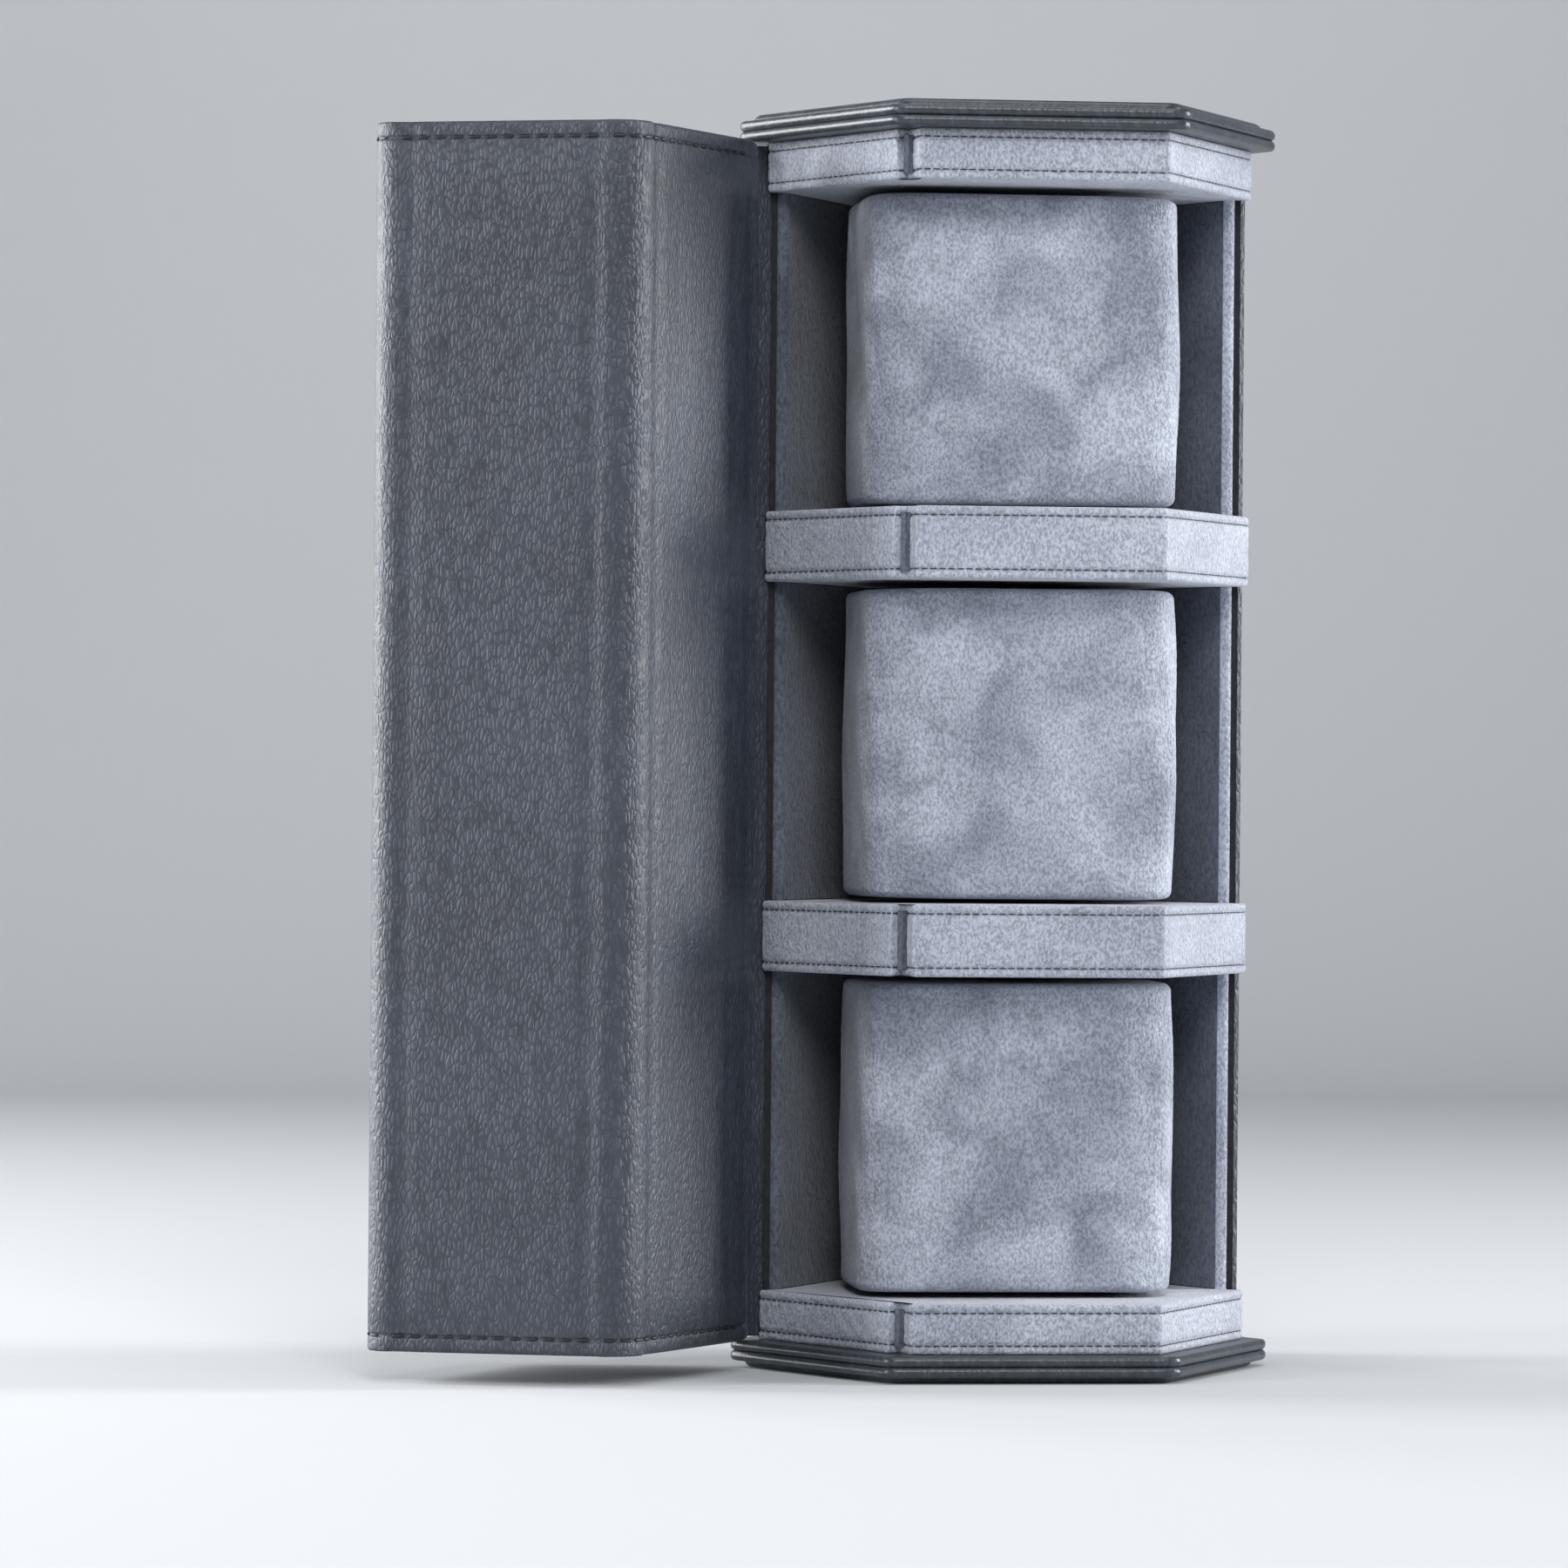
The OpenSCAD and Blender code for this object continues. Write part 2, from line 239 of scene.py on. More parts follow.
def stitchRow(name, centres, along, outwards, size, material):
    # One short capsule for each stitch: each ring's size is the root of 1 - its share cubed
    length, width, height = size
    ringCount, sides, thinnest = 7, 8, 0.02
    share = np.linspace(-1, 1, ringCount)
    swell = np.sqrt(np.clip(1 - np.abs(share) ** 3, thinnest, 1))
    angle = np.arange(sides) * 2 * math.pi / sides
    u = np.repeat(share * length / 2, sides)
    v = (swell[:, None] * np.cos(angle)[None, :] * width / 2).ravel()
    w = (swell[:, None] * np.sin(angle)[None, :] * height / 2).ravel()
    upward = np.cross(outwards, along)
    verts = (
        centres[:, None, :]
        + u[None, :, None] * along[:, None, :]
        + v[None, :, None] * upward[:, None, :]
        + w[None, :, None] * outwards[:, None, :]
    ).reshape(-1, 3)
    one = gridFaces(ringCount, sides, True)
    one += [list(range(sides)), list(range((ringCount - 1) * sides, ringCount * sides))]
    per = ringCount * sides
    faces = [[i + s * per for i in f] for s in range(len(centres)) for f in one]
    return makePiece(name, verts, faces, material)


# Materials

def toLinear(hexText):
    # sRGB hex text to the linear colour that Blender's sockets take
    values = [int(hexText[i:i + 2], 16) / 255 for i in (1, 3, 5)]
    return tuple(c / 12.92 if c <= 0.04045 else ((c + 0.055) / 1.055) ** 2.4 for c in values) + (1,)


def addNode(tree, kind, settings=None, links=None):
    # settings: input or property values; links: input name to an output socket
    node = tree.nodes.new(kind)
    for key, value in (settings or {}).items():
        if isinstance(key, str) and key not in node.inputs:
            setattr(node, key, value)
        else:
            node.inputs[key].default_value = value
    for key, socket in (links or {}).items():
        tree.links.new(socket, node.inputs[key])
    return node


def newMaterial(name):
    material = bpy.data.materials.new(name)
    material.use_nodes = True
    tree = material.node_tree
    shader = tree.nodes["Principled BSDF"]
    place = addNode(tree, "ShaderNodeTexCoord").outputs["Object"]
    return material, tree, shader, place


def twoTone(tree, value, tones, darkHex, lightHex):
    # Blends two colours as a value goes from the first tone to the second
    ramp = addNode(tree, "ShaderNodeValToRGB", links={"Fac": value})
    ramp.color_ramp.elements[0].position = tones[0]
    ramp.color_ramp.elements[1].position = tones[1]
    ramp.color_ramp.elements[0].color = toLinear(darkHex)
    ramp.color_ramp.elements[1].color = toLinear(lightHex)
    return ramp.outputs["Color"]


# Lengths in millimetres. Upright draws a pattern out along the height, and tones are the
# shares of a pattern at which the dark colour ends and the light one is reached
leatherLook = {"upright": 0.42, "wanderMm": 5.263158, "swayMm": 0.6, "creaseCells": 2.6,
               "pebbleEdge": 0.3, "cloudMm": 45.454545, "tones": (0.32, 0.7), "bump": 0.85,
               "glossier": 0.06, "duller": 0.08}
velvetLook = {"upright": 0.62, "tuftLoops": 3.2, "tones": (0.34, 0.66), "bump": 0.8,
              "bumpMm": 0.5, "roughness": 0.95, "specular": 0.15, "sheenRoughness": 0.45}
threadLook = {"twistMm": 0.35, "tones": (0.3, 0.7), "bump": 0.4, "bumpMm": 0.1,
              "roughness": 0.5, "dark": "#0d0f11"}
boardLook = {"fibreMm": 1.2, "tones": (0.35, 0.65), "bump": 0.3, "bumpMm": 0.2,
             "roughness": 0.85}
steelLook = {"hazeMm": 2.0, "roughFrom": 0.22, "roughTo": 0.4, "colour": "#b4b6ba"}


def patternScale(lengthMm):
    # A texture's Scale counts patterns in a metre
    return 1000 / lengthMm


# Pebbled calf leather, drum dyed and lightly waxed: fine cells, soft sheen, faint cloudy tone
def pebbledLeather(name, darkHex, lightHex, cellMm, bumpMm, roughness):
    material, tree, shader, place = newMaterial(name)
    look = leatherLook
    upright = addNode(
        tree, "ShaderNodeMapping", {"Scale": (1, 1, look["upright"])}, {"Vector": place},
    )
    wander = addNode(
        tree, "ShaderNodeTexNoise", {"Scale": patternScale(look["wanderMm"]), "Detail": 2.0},
        {"Vector": place},
    )
    sway = addNode(
        tree, "ShaderNodeVectorMath",
        {"operation": "MULTIPLY_ADD", 1: (look["swayMm"] * mm,) * 3},
        {0: wander.outputs["Color"], 2: upright.outputs["Vector"]},
    )
    vector = sway.outputs["Vector"]
    cells = addNode(
        tree, "ShaderNodeTexVoronoi",
        {"feature": "DISTANCE_TO_EDGE", "Scale": patternScale(cellMm), "Randomness": 1.0},
        {"Vector": vector},
    )
    creases = addNode(
        tree, "ShaderNodeTexNoise",
        {"Scale": patternScale(cellMm * look["creaseCells"]), "Detail": 5.0, "Roughness": 0.6},
        {"Vector": vector},
    )
    pebbles = addNode(
        tree, "ShaderNodeMapRange",
        {"interpolation_type": "SMOOTHSTEP", "From Max": look["pebbleEdge"]},
        {"Value": cells.outputs["Distance"]},
    )
    # Relief = pebbles x creases + creases
    both = addNode(
        tree, "ShaderNodeMath", {"operation": "MULTIPLY_ADD"},
        {0: pebbles.outputs["Result"], 1: creases.outputs["Fac"], 2: creases.outputs["Fac"]},
    )
    cloud = addNode(
        tree, "ShaderNodeTexNoise", {"Scale": patternScale(look["cloudMm"]), "Detail": 4.0},
        {"Vector": place},
    )
    tone = twoTone(tree, cloud.outputs["Fac"], look["tones"], darkHex, lightHex)
    pores = addNode(
        tree, "ShaderNodeMapRange",
        {"From Min": 0.35, "From Max": 1.15, "To Min": 0.6, "To Max": 1.16},
        {"Value": both.outputs[0]},
    )
    shaded = addNode(
        tree, "ShaderNodeHueSaturation", {}, {"Color": tone, "Value": pores.outputs["Result"]},
    )
    bump = addNode(
        tree, "ShaderNodeBump", {"Strength": look["bump"], "Distance": bumpMm * mm},
        {"Height": both.outputs[0]},
    )
    rough = addNode(
        tree, "ShaderNodeMapRange",
        {"To Min": roughness - look["glossier"], "To Max": roughness + look["duller"]},
        {"Value": creases.outputs["Fac"]},
    )
    tree.links.new(shaded.outputs["Color"], shader.inputs["Base Color"])
    tree.links.new(rough.outputs["Result"], shader.inputs["Roughness"])
    tree.links.new(bump.outputs["Normal"], shader.inputs["Normal"])
    return material


# Microfibre velvet with a short looped pile: matt, pale where the pile lies towards the light,
# brushed into soft cloudy patches, with a fine grain of loops about half a millimetre apart,
# drawn a little coarser than they are so that they show
def brushedVelvet(name, darkHex, lightHex, patchMm, loopMm, sheen):
    material, tree, shader, place = newMaterial(name)
    look = velvetLook
    patches = addNode(
        tree, "ShaderNodeTexNoise",
        {"Scale": patternScale(patchMm), "Detail": 3.5, "Roughness": 0.5, "Distortion": 0.5},
        {"Vector": place},
    )
    stretch = addNode(
        tree, "ShaderNodeMapping", {"Scale": (1, 1, look["upright"])}, {"Vector": place},
    )
    loops = addNode(
        tree, "ShaderNodeTexNoise",
        {"Scale": patternScale(loopMm), "Detail": 2.0, "Roughness": 0.65},
        {"Vector": stretch.outputs["Vector"]},
    )
    tufts = addNode(
        tree, "ShaderNodeTexNoise",
        {"Scale": patternScale(loopMm * look["tuftLoops"]), "Detail": 3.0}, {"Vector": place},
    )
    tone = twoTone(tree, patches.outputs["Fac"], look["tones"], darkHex, lightHex)
    grain = addNode(
        tree, "ShaderNodeMapRange",
        {"From Min": 0.36, "From Max": 0.62, "To Min": 0.66, "To Max": 1.17},
        {"Value": loops.outputs["Fac"]},
    )
    shaded = addNode(
        tree, "ShaderNodeHueSaturation", {}, {"Color": tone, "Value": grain.outputs["Result"]},
    )
    pile = addNode(
        tree, "ShaderNodeMath", {"operation": "ADD"},
        {0: loops.outputs["Fac"], 1: tufts.outputs["Fac"]},
    )
    bump = addNode(
        tree, "ShaderNodeBump", {"Strength": look["bump"], "Distance": look["bumpMm"] * mm},
        {"Height": pile.outputs[0]},
    )
    shader.inputs["Roughness"].default_value = look["roughness"]
    shader.inputs["Specular IOR Level"].default_value = look["specular"]
    shader.inputs["Sheen Weight"].default_value = sheen
    shader.inputs["Sheen Roughness"].default_value = look["sheenRoughness"]
    tree.links.new(shaded.outputs["Color"], shader.inputs["Base Color"])
    tree.links.new(bump.outputs["Normal"], shader.inputs["Normal"])
    return material


# Waxed polyester thread, twisted: dark, with a slight gloss
def waxedThread(name, hexText):
    material, tree, shader, place = newMaterial(name)
    look = threadLook
    twist = addNode(
        tree, "ShaderNodeTexNoise", {"Scale": patternScale(look["twistMm"]), "Detail": 2.0},
        {"Vector": place},
    )
    tone = twoTone(tree, twist.outputs["Fac"], look["tones"], look["dark"], hexText)
    bump = addNode(
        tree, "ShaderNodeBump", {"Strength": look["bump"], "Distance": look["bumpMm"] * mm},
        {"Height": twist.outputs["Fac"]},
    )
    shader.inputs["Roughness"].default_value = look["roughness"]
    tree.links.new(tone, shader.inputs["Base Color"])
    tree.links.new(bump.outputs["Normal"], shader.inputs["Normal"])
    return material


# Pressed fibreboard: matt, flecked with short fibres
def pressedBoard(name, darkHex, lightHex):
    material, tree, shader, place = newMaterial(name)
    look = boardLook
    fibres = addNode(
        tree, "ShaderNodeTexNoise", {"Scale": patternScale(look["fibreMm"]), "Detail": 5.0},
        {"Vector": place},
    )
    tone = twoTone(tree, fibres.outputs["Fac"], look["tones"], darkHex, lightHex)
    bump = addNode(
        tree, "ShaderNodeBump", {"Strength": look["bump"], "Distance": look["bumpMm"] * mm},
        {"Height": fibres.outputs["Fac"]},
    )
    shader.inputs["Roughness"].default_value = look["roughness"]
    tree.links.new(tone, shader.inputs["Base Color"])
    tree.links.new(bump.outputs["Normal"], shader.inputs["Normal"])
    return material


# Nickel plated magnet steel: bright, with faint plating haze
def platedSteel(name):
    material, tree, shader, place = newMaterial(name)
    look = steelLook
    haze = addNode(
        tree, "ShaderNodeTexNoise", {"Scale": patternScale(look["hazeMm"]), "Detail": 3.0},
        {"Vector": place},
    )
    rough = addNode(
        tree, "ShaderNodeMapRange", {"To Min": look["roughFrom"], "To Max": look["roughTo"]},
        {"Value": haze.outputs["Fac"]},
    )
    shader.inputs["Base Color"].default_value = toLinear(look["colour"])
    shader.inputs["Metallic"].default_value = 1.0
    tree.links.new(rough.outputs["Result"], shader.inputs["Roughness"])
    return material


wrapLeather = pebbledLeather("pebbled calf leather", "#373c46", "#434955", 0.85, 0.2, 0.46)
capLeather = pebbledLeather("smooth calf leather", "#373d44", "#414850", 1.4, 0.05, 0.31)
cushionVelvet = brushedVelvet("brushed velvet, cushions", "#8e94a2", "#bcc2d0", 15.0, 0.5, 0.4)
dividerVelvet = brushedVelvet("brushed velvet, dividers", "#a3a9b8", "#bcc2d0", 24.0, 0.5, 0.4)
# The dividers' velvet again, made darker as painted shade: used for the bay linings, the wrap's
# inner faces, the left wall binding and the divider cores
paintedShadeVelvet = brushedVelvet("brushed velvet, darkened for painted shade", "#565c68", "#6a717e", 26.0, 0.7, 0.25)
threadDark = waxedThread("waxed thread, charcoal", "#1b1e21")
dividerThread = waxedThread("waxed thread, slate", "#3a3f47")
boardBlack = pressedBoard("pressed fibreboard, black", "#17191c", "#26292e")
magnetSteel = platedSteel("plated magnet steel")
print("materials made")


# Camera and light: the photograph's framing, from the front and a little to the left
view = {
    "yawDeg": 6.5,
    "distance": 1360.0,
    "aimX": -47.1,
    "aimY": -40.8,
    "height": 111.5,
    "lens": 168.0,
    "sensor": 36.0,
    "rollDeg": 0.45,
}
yaw = math.radians(view["yawDeg"])
forward = Vector((math.sin(yaw), math.cos(yaw), 0))
cameraData = bpy.data.cameras.new("camera")
cameraData.lens = view["lens"]
cameraData.sensor_width = view["sensor"]
camera = bpy.data.objects.new("camera", cameraData)
bpy.context.scene.collection.objects.link(camera)
aim = Vector((view["aimX"], view["aimY"], view["height"]))
camera.location = (aim - forward * view["distance"]) * mm
level = forward.to_track_quat("-Z", "Y")
camera.rotation_euler = (level @ Quaternion((0, 0, 1), math.radians(view["rollDeg"]))).to_euler()
bpy.context.scene.camera = camera


# Soft boxes: place in metres, size in metres, and watts
lights = {
    "keyLight": ((-0.05, -1.25, 0.85), (0.5, 0.6), 9.5),
    "rightLight": ((1.2, -0.02, 0.3), (0.3, 0.9), 21),
    "leftLight": ((-1.15, 0.3, 0.2), (0.4, 1.0), 26),
    "leftFrontLight": ((-1.1, -0.42, 0.2), (0.25, 1.0), 9),
    "cornerLight": ((-0.95, 0.8, 0.25), (0.4, 1.0), 10),
    "topLight": ((0.0, -0.2, 1.1), (0.7, 0.7), 4),
}
lightTarget = Vector((-0.03, 0, 0.12))
for name, (place, size, watts) in lights.items():
    data = bpy.data.lights.new(name, "AREA")
    data.shape = "RECTANGLE"
    data.size, data.size_y = size
    data.energy = watts
    lamp = bpy.data.objects.new(name, data)
    bpy.context.scene.collection.objects.link(lamp)
    lamp.location = place
    lamp.rotation_euler = (lightTarget - Vector(place)).to_track_quat("-Z", "Y").to_euler()

studio = {"sky": "#dfe3e8", "skyStrength": 0.17, "paper": "#c6c9cd", "paperRoughness": 0.9}
world = bpy.data.worlds.new("studio")
bpy.context.scene.world = world
world.use_nodes = True
sky = world.node_tree.nodes["Background"]
sky.inputs["Color"].default_value = toLinear(studio["sky"])
sky.inputs["Strength"].default_value = studio["skyStrength"]
bpy.context.scene.view_settings.view_transform = "Standard"

# One sheet of pale paper: floor, a swept curve, and a wall behind. Sizes are in millimetres
paper = {"front": -2200, "bendAt": 1200, "bend": 500, "wall": 2600, "halfW": 2600, "bendSteps": 16}
bendT = np.linspace(0, math.pi / 2, paper["bendSteps"])
bendY = paper["bendAt"] + paper["bend"] * np.sin(bendT)
bendZ = paper["bend"] * (1 - np.cos(bendT))
sweepY = np.concatenate([[paper["front"]], bendY, [paper["bendAt"] + paper["bend"]]])
sweepZ = np.concatenate([[0], bendZ, [paper["wall"]]])
sides = (-paper["halfW"], paper["halfW"])
paperVerts = [(x, y, z) for y, z in zip(sweepY, sweepZ) for x in sides]
paperFaces = gridFaces(len(sweepY), 2, False)
paperMaterial, _, paperShader, _ = newMaterial("pale studio paper")
paperShader.inputs["Base Color"].default_value = toLinear(studio["paper"])
paperShader.inputs["Roughness"].default_value = studio["paperRoughness"]
floor = makePiece("studioPaper", paperVerts, paperFaces, paperMaterial)
print("camera and light placed")


# End caps: two leather plates pressed together, with rounded rims, and a padded outer face
cap = {
    "overhang": 4.2,
    "cornerRadius": 3.0,
    "padInset": 2.4,
    "spacing": 1.2,
    "plateDraw": 0.81,
    "plateSteps": 9,
    "lip": 0.3,
    "padRim": ((0, 0), (0.05, 0.35), (0.35, 0.85)),
    "padTopInset": 0.9,
}


def capLevels(low, high):
    # Two rounded plates: inset = draw x (1 - sine of the turn), height by the turn's cosine
    half = (high - low) / 2
    t = np.linspace(0, math.pi, cap["plateSteps"])
    plate = [(cap["plateDraw"] * (1 - math.sin(a)), half * (1 - math.cos(a)) / 2) for a in t]
    lower = [(i, low + z) for i, z in plate]
    upper = [(i, low + half + z) for i, z in plate[1:]]
    first = (lower[0][0] + cap["lip"], low)
    last = (upper[-1][0] + cap["lip"], high)
    return [first] + lower[1:] + upper[:-1] + [last]


def capLoop(inset):
    return resampleLoop(roundCorners(hexagon(inset), cap["cornerRadius"]), cap["spacing"])


capOutline = capLoop(-cap["overhang"])
padOutline = capLoop(cap["padInset"] - cap["overhang"])
for end in ("bottom", "top"):
    low, high = nodeZ(end + "_cap")
    plate = loftOutline(end + "Cap", capOutline, capLevels(low, high), capLeather)
    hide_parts(end + "_cap")
    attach(plate, "tray")
    low, high = nodeZ(end + "_cap_pad")
    rim = [(inset, low + z) for inset, z in cap["padRim"]] + [(cap["padTopInset"], high)]
    if end == "bottom":
        rim = [(inset, low + high - z) for inset, z in rim][::-1]
    pad = loftOutline(end + "CapFace", padOutline, rim, capLeather)
    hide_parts(end + "_cap_pad")
    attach(pad, "tray")
print("caps made")


# Stitches: the leather's edge stitches, and the finer seams of the dividers
stitch = {"pitch": 3.2, "length": 2.35, "width": 0.6, "height": 0.45, "fromEdge": 3.0,
          "groove": 0.3, "grooveHalfW": 0.7}
seamStitch = {"pitch": 1.7, "length": 1.45, "width": 0.24, "height": 0.2, "fromEdge": 1.7}
stitchLay = {"sink": 0.12, "chord": 0.3, "endRoom": 0.35}
groove = (stitch["fromEdge"], stitch["groove"], stitch["grooveHalfW"])


def pointsAt(path, run, at):
    return np.stack([np.interp(at, run, path[:, k]) for k in (0, 1)], 1)


def evenPlaces(path, pitch, first):
    # Places one pitch apart along a path, and the path's direction at each, from a short chord.
    # The last place keeps a share of the pitch, endRoom, free before the path's end
    gap = np.linalg.norm(np.diff(path, axis=0), axis=1)
    run = np.concatenate([[0], np.cumsum(gap)])
    at = np.arange(first, run[-1] - pitch * stitchLay["endRoom"], pitch)
    ahead = pointsAt(path, run, np.minimum(at + stitchLay["chord"], run[-1]))
    behind = pointsAt(path, run, np.maximum(at - stitchLay["chord"], 0))
    along = ahead - behind
    along /= np.linalg.norm(along, axis=1)[:, None]
    return pointsAt(path, run, at), along


def edgeStitches(name, path, offset, low, high, first, kind=stitch, thread=threadDark):
    # Two rows of stitches, one near each end, sunk a little into their grooves
    point, along = evenPlaces(path, kind["pitch"], first)
    normal = np.stack([along[:, 1], -along[:, 0]], 1)
    laid = point + normal * (offset - stitchLay["sink"])
    rows = []
    for z in (low + kind["fromEdge"], high - kind["fromEdge"]):
        rows.append(np.column_stack([laid, np.full(len(point), z)]))
    centres = np.vstack(rows)
    flat = np.zeros((len(point), 1))
    alongs = np.vstack([np.hstack([along, flat])] * 2)
    normals = np.vstack([np.hstack([normal, flat])] * 2)
    size = (kind["length"], kind["width"], kind["height"])
    return stitchRow(name, centres, alongs, normals, size, thread)


# Dividers: velvet drawn over a padded core, seams near both rims, and a groove where its ends meet
divider = {
    "leftInset": 0.9,
    "grooveW": 4.2,
    "grooveDepth": 2.6,
    "edge": 0.7,
    "edgeInset": 0.1,
    "seamAt": 1.7,
    "seamHalfW": 0.5,
    "seamFloorHalfW": 0.1,
    "seamDepth": 0.3,
    "bandInset": 0.08,
    "bandEdgeInset": 0.12,
    "bandFrom": 0.9,
    "bandRows": 14,
    "ripple": 0.06,
    "nap": 0.09,
    "spacing": 0.5,
    "corner": 0.6,
    "cornerSteps": 5,
    "seamSpacing": 0.25,
    "seamRaise": -0.02,
    "firstSeam": 1.0,
}


def dividerOutline():
    # The hexagon's front half at full size, its back half set in between the tray's walls
    behind = tray["wallSetback"] / 2
    inset, deep = tray["coreInset"], divider["grooveDepth"]
    h = tray["halfDepth"]
    edge = -halfWidthAt(h, 0) + divider["grooveW"] / 2
    leftY = -h + divider["grooveW"]
    left = np.array([-halfWidthAt(leftY, divider["leftInset"]), leftY])
    back, side = h - inset, halfWidthAt(behind, inset)
    return np.array([
        [-halfWidthAt(0, divider["leftInset"]), behind],
        [-halfWidthAt(0, divider["leftInset"]), 0],
        left,
        left + [deep, deep / 2],
        [edge, -h + deep],
        [edge, -h],
        [halfWidthAt(h, 0), -h],
        [halfWidthAt(0, 0), 0],
        [halfWidthAt(0, 0), behind],
        [side, behind],
        [halfWidthAt(back, inset), back],
        [-halfWidthAt(back, inset), back],
        [-side, behind],
    ])


def dividerLevels(low, high):
    # Soft rolled rims above and below a flat band, with a seam line between
    e, at, inset = divider["edge"], divider["seamAt"], divider["edgeInset"]
    halfW, floorHalfW = divider["seamHalfW"], divider["seamFloorHalfW"]
    floorInset, tall = inset + divider["seamDepth"], high - low
    t = np.linspace(0, math.pi / 2, divider["cornerSteps"])
    rim = [(inset + e * (1 - math.sin(a)), e * (1 - math.cos(a))) for a in t]
    seam = [(inset, at - halfW), (floorInset, at - floorHalfW), (floorInset, at + floorHalfW),
            (divider["bandEdgeInset"], at + halfW)]
    lower = rim + seam
    bandFrom = at + divider["bandFrom"]
    band = np.linspace(bandFrom, tall - bandFrom, divider["bandRows"])
    upper = [(i, tall - z) for i, z in lower[::-1]]
    return [(i, low + z) for i, z in lower + [(divider["bandInset"], z) for z in band] + upper]


dividerCorners = roundCorners(dividerOutline(), divider["corner"], divider["cornerSteps"])
dividerLoop = resampleLoop(dividerCorners, divider["spacing"])

# The seams run round the front half alone, from one wall to the other
seamPath = resampleLoop(dividerCorners, divider["seamSpacing"])
seamPath = seamPath[seamPath[:, 1] < 0]
nextGap = np.linalg.norm(np.roll(seamPath, -1, axis=0) - seamPath, axis=1)
seamPath = np.roll(seamPath, -(int(np.argmax(nextGap)) + 1), axis=0)
for name in ("bottom_block", "lower_divider", "upper_divider", "top_block"):
    low, high = nodeZ(name + "_cover")
    place, kind = name.split("_")
    pieceName = place + kind.capitalize()
    piece = loftOutline(
        pieceName, dividerLoop, dividerLevels(low, high), dividerVelvet,
        ripple=divider["ripple"], nap=divider["nap"],
    )
    seams = edgeStitches(
        pieceName + "Seams", seamPath, divider["seamRaise"], low, high, divider["firstSeam"],
        seamStitch, dividerThread,
    )
    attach(seams, "tray")
    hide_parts(name + "_cover")
    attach(piece, "tray")
print("dividers made")


# Cushions: a velvet sleeve over foam, drawn in at both rims, its faces softly dented. Waves are
# size, waves round the sleeve, waves up it, and share of the seed's phase
cushion = {
    "halfW": 31.0,
    "halfD": 21.0,
    "y": -5.0,
    "power": 0.32,
    "crown": 0.5,
    "rim": 1.5,
    "slack": 0.4,
    "dent": 0.24,
    "dentStart": 1.9,
    "waves": ((1, 3, 5, 1), (0.6, 7, -6, 2), (0.35, 13, 11, -1)),
    "swell": 4.2,
    "nap": 0.1,
    "endGap": 0.012,
    "tip": 0.15,
    "around": 330,
    "up": 120,
    "lidShares": (0.93, 0.6, 0.2),
    "lidRise": 0.1,
}


def signPower(v, p):
    return np.sign(v) * np.abs(v) ** p


def makeCushion(name, node, seed):
    # Superellipse rings: half size x the power of the angle's cosine or sine. Each ring is drawn in
    # by a quarter round at both rims and by the crown x the squared height from the middle. Slow
    # waves, which fade at the rims, dent the sides, and a seeded nap roughens them
    low, high = nodeZ(node)
    n, rows, midY = cushion["around"], cushion["up"], cushion["y"]
    s = (1 - np.cos(np.linspace(0, math.pi, rows))) / 2
    a = np.linspace(0, 2 * math.pi, n, endpoint=False)
    grid, angle = np.meshgrid(s, a, indexing="ij")
    fromMid = 2 * grid - 1
    fromEnd = (high - low) * np.minimum(grid, 1 - grid)
    reach = np.clip(1 - fromEnd / cushion["rim"], 0, 1)
    drawIn = cushion["rim"] * (1 - np.sqrt(1 - reach ** 2)) + cushion["crown"] * fromMid ** 2
    phase = seed * cushion["dentStart"]
    broad, middling, small = [
        size * np.sin(around * angle + up * grid + lead * phase)
        for size, around, up, lead in cushion["waves"]
    ]
    waves = broad * np.sin(cushion["swell"] * grid + phase) + middling + small
    nap = cushion["nap"] * np.random.default_rng(seed).uniform(0, 1, waves.shape)
    grow = cushion["dent"] * waves * (1 - fromMid ** 4) - nap - drawIn - cushion["slack"]
    x = (cushion["halfW"] + grow) * signPower(np.cos(angle), cushion["power"])
    y = (cushion["halfD"] + grow) * signPower(np.sin(angle), cushion["power"]) + midY
    tip = cushion["tip"] * np.sin(2 * angle + phase) * fromMid * np.abs(fromMid)
    z = low + (high - low) * (cushion["endGap"] + (1 - 2 * cushion["endGap"]) * grid) + tip
    rings = [np.stack([x[i], y[i], z[i]], 1) for i in range(rows)]
    middle = np.array([0, midY])
    lids = []
    for end, rise in ((0, -cushion["lidRise"]), (rows - 1, cushion["lidRise"])):
        lid = []
        for share in cushion["lidShares"]:
            ring = rings[end].copy()
            ring[:, :2] = middle + (ring[:, :2] - middle) * share
            ring[:, 2] += rise
            lid.append(ring)
        lids.append(lid)
    allRings = lids[0][::-1] + rings + lids[1]
    faces = tubeFaces(len(allRings), n)
    return makePiece(name, np.concatenate(allRings), faces, cushionVelvet, smoothAngle=60)


for i, which in enumerate(("lower", "middle", "upper")):
    piece = makeCushion(which + "Cushion", which + "_cushion", i + 1)
    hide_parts(which + "_cushion")
    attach(piece, which + "_cushion")
print("cushions made")


# Tray walls: velvet lining in each bay, a velvet binding on both front edges, leather outside
def cornerArc(start, corner, end, steps):
    # start x (1 - t) squared + corner x 2 t (1 - t) + end x t squared
    t = np.linspace(0, 1, steps)[:, None]
    return start * (1 - t) ** 2 + corner * 2 * t * (1 - t) + end * t ** 2


def pathNormals(path):
    # The path's direction at each point, turned a quarter clockwise
    along = np.gradient(path, axis=0)
    along /= np.linalg.norm(along, axis=1)[:, None]
    return np.stack([along[:, 1], -along[:, 0]], 1)


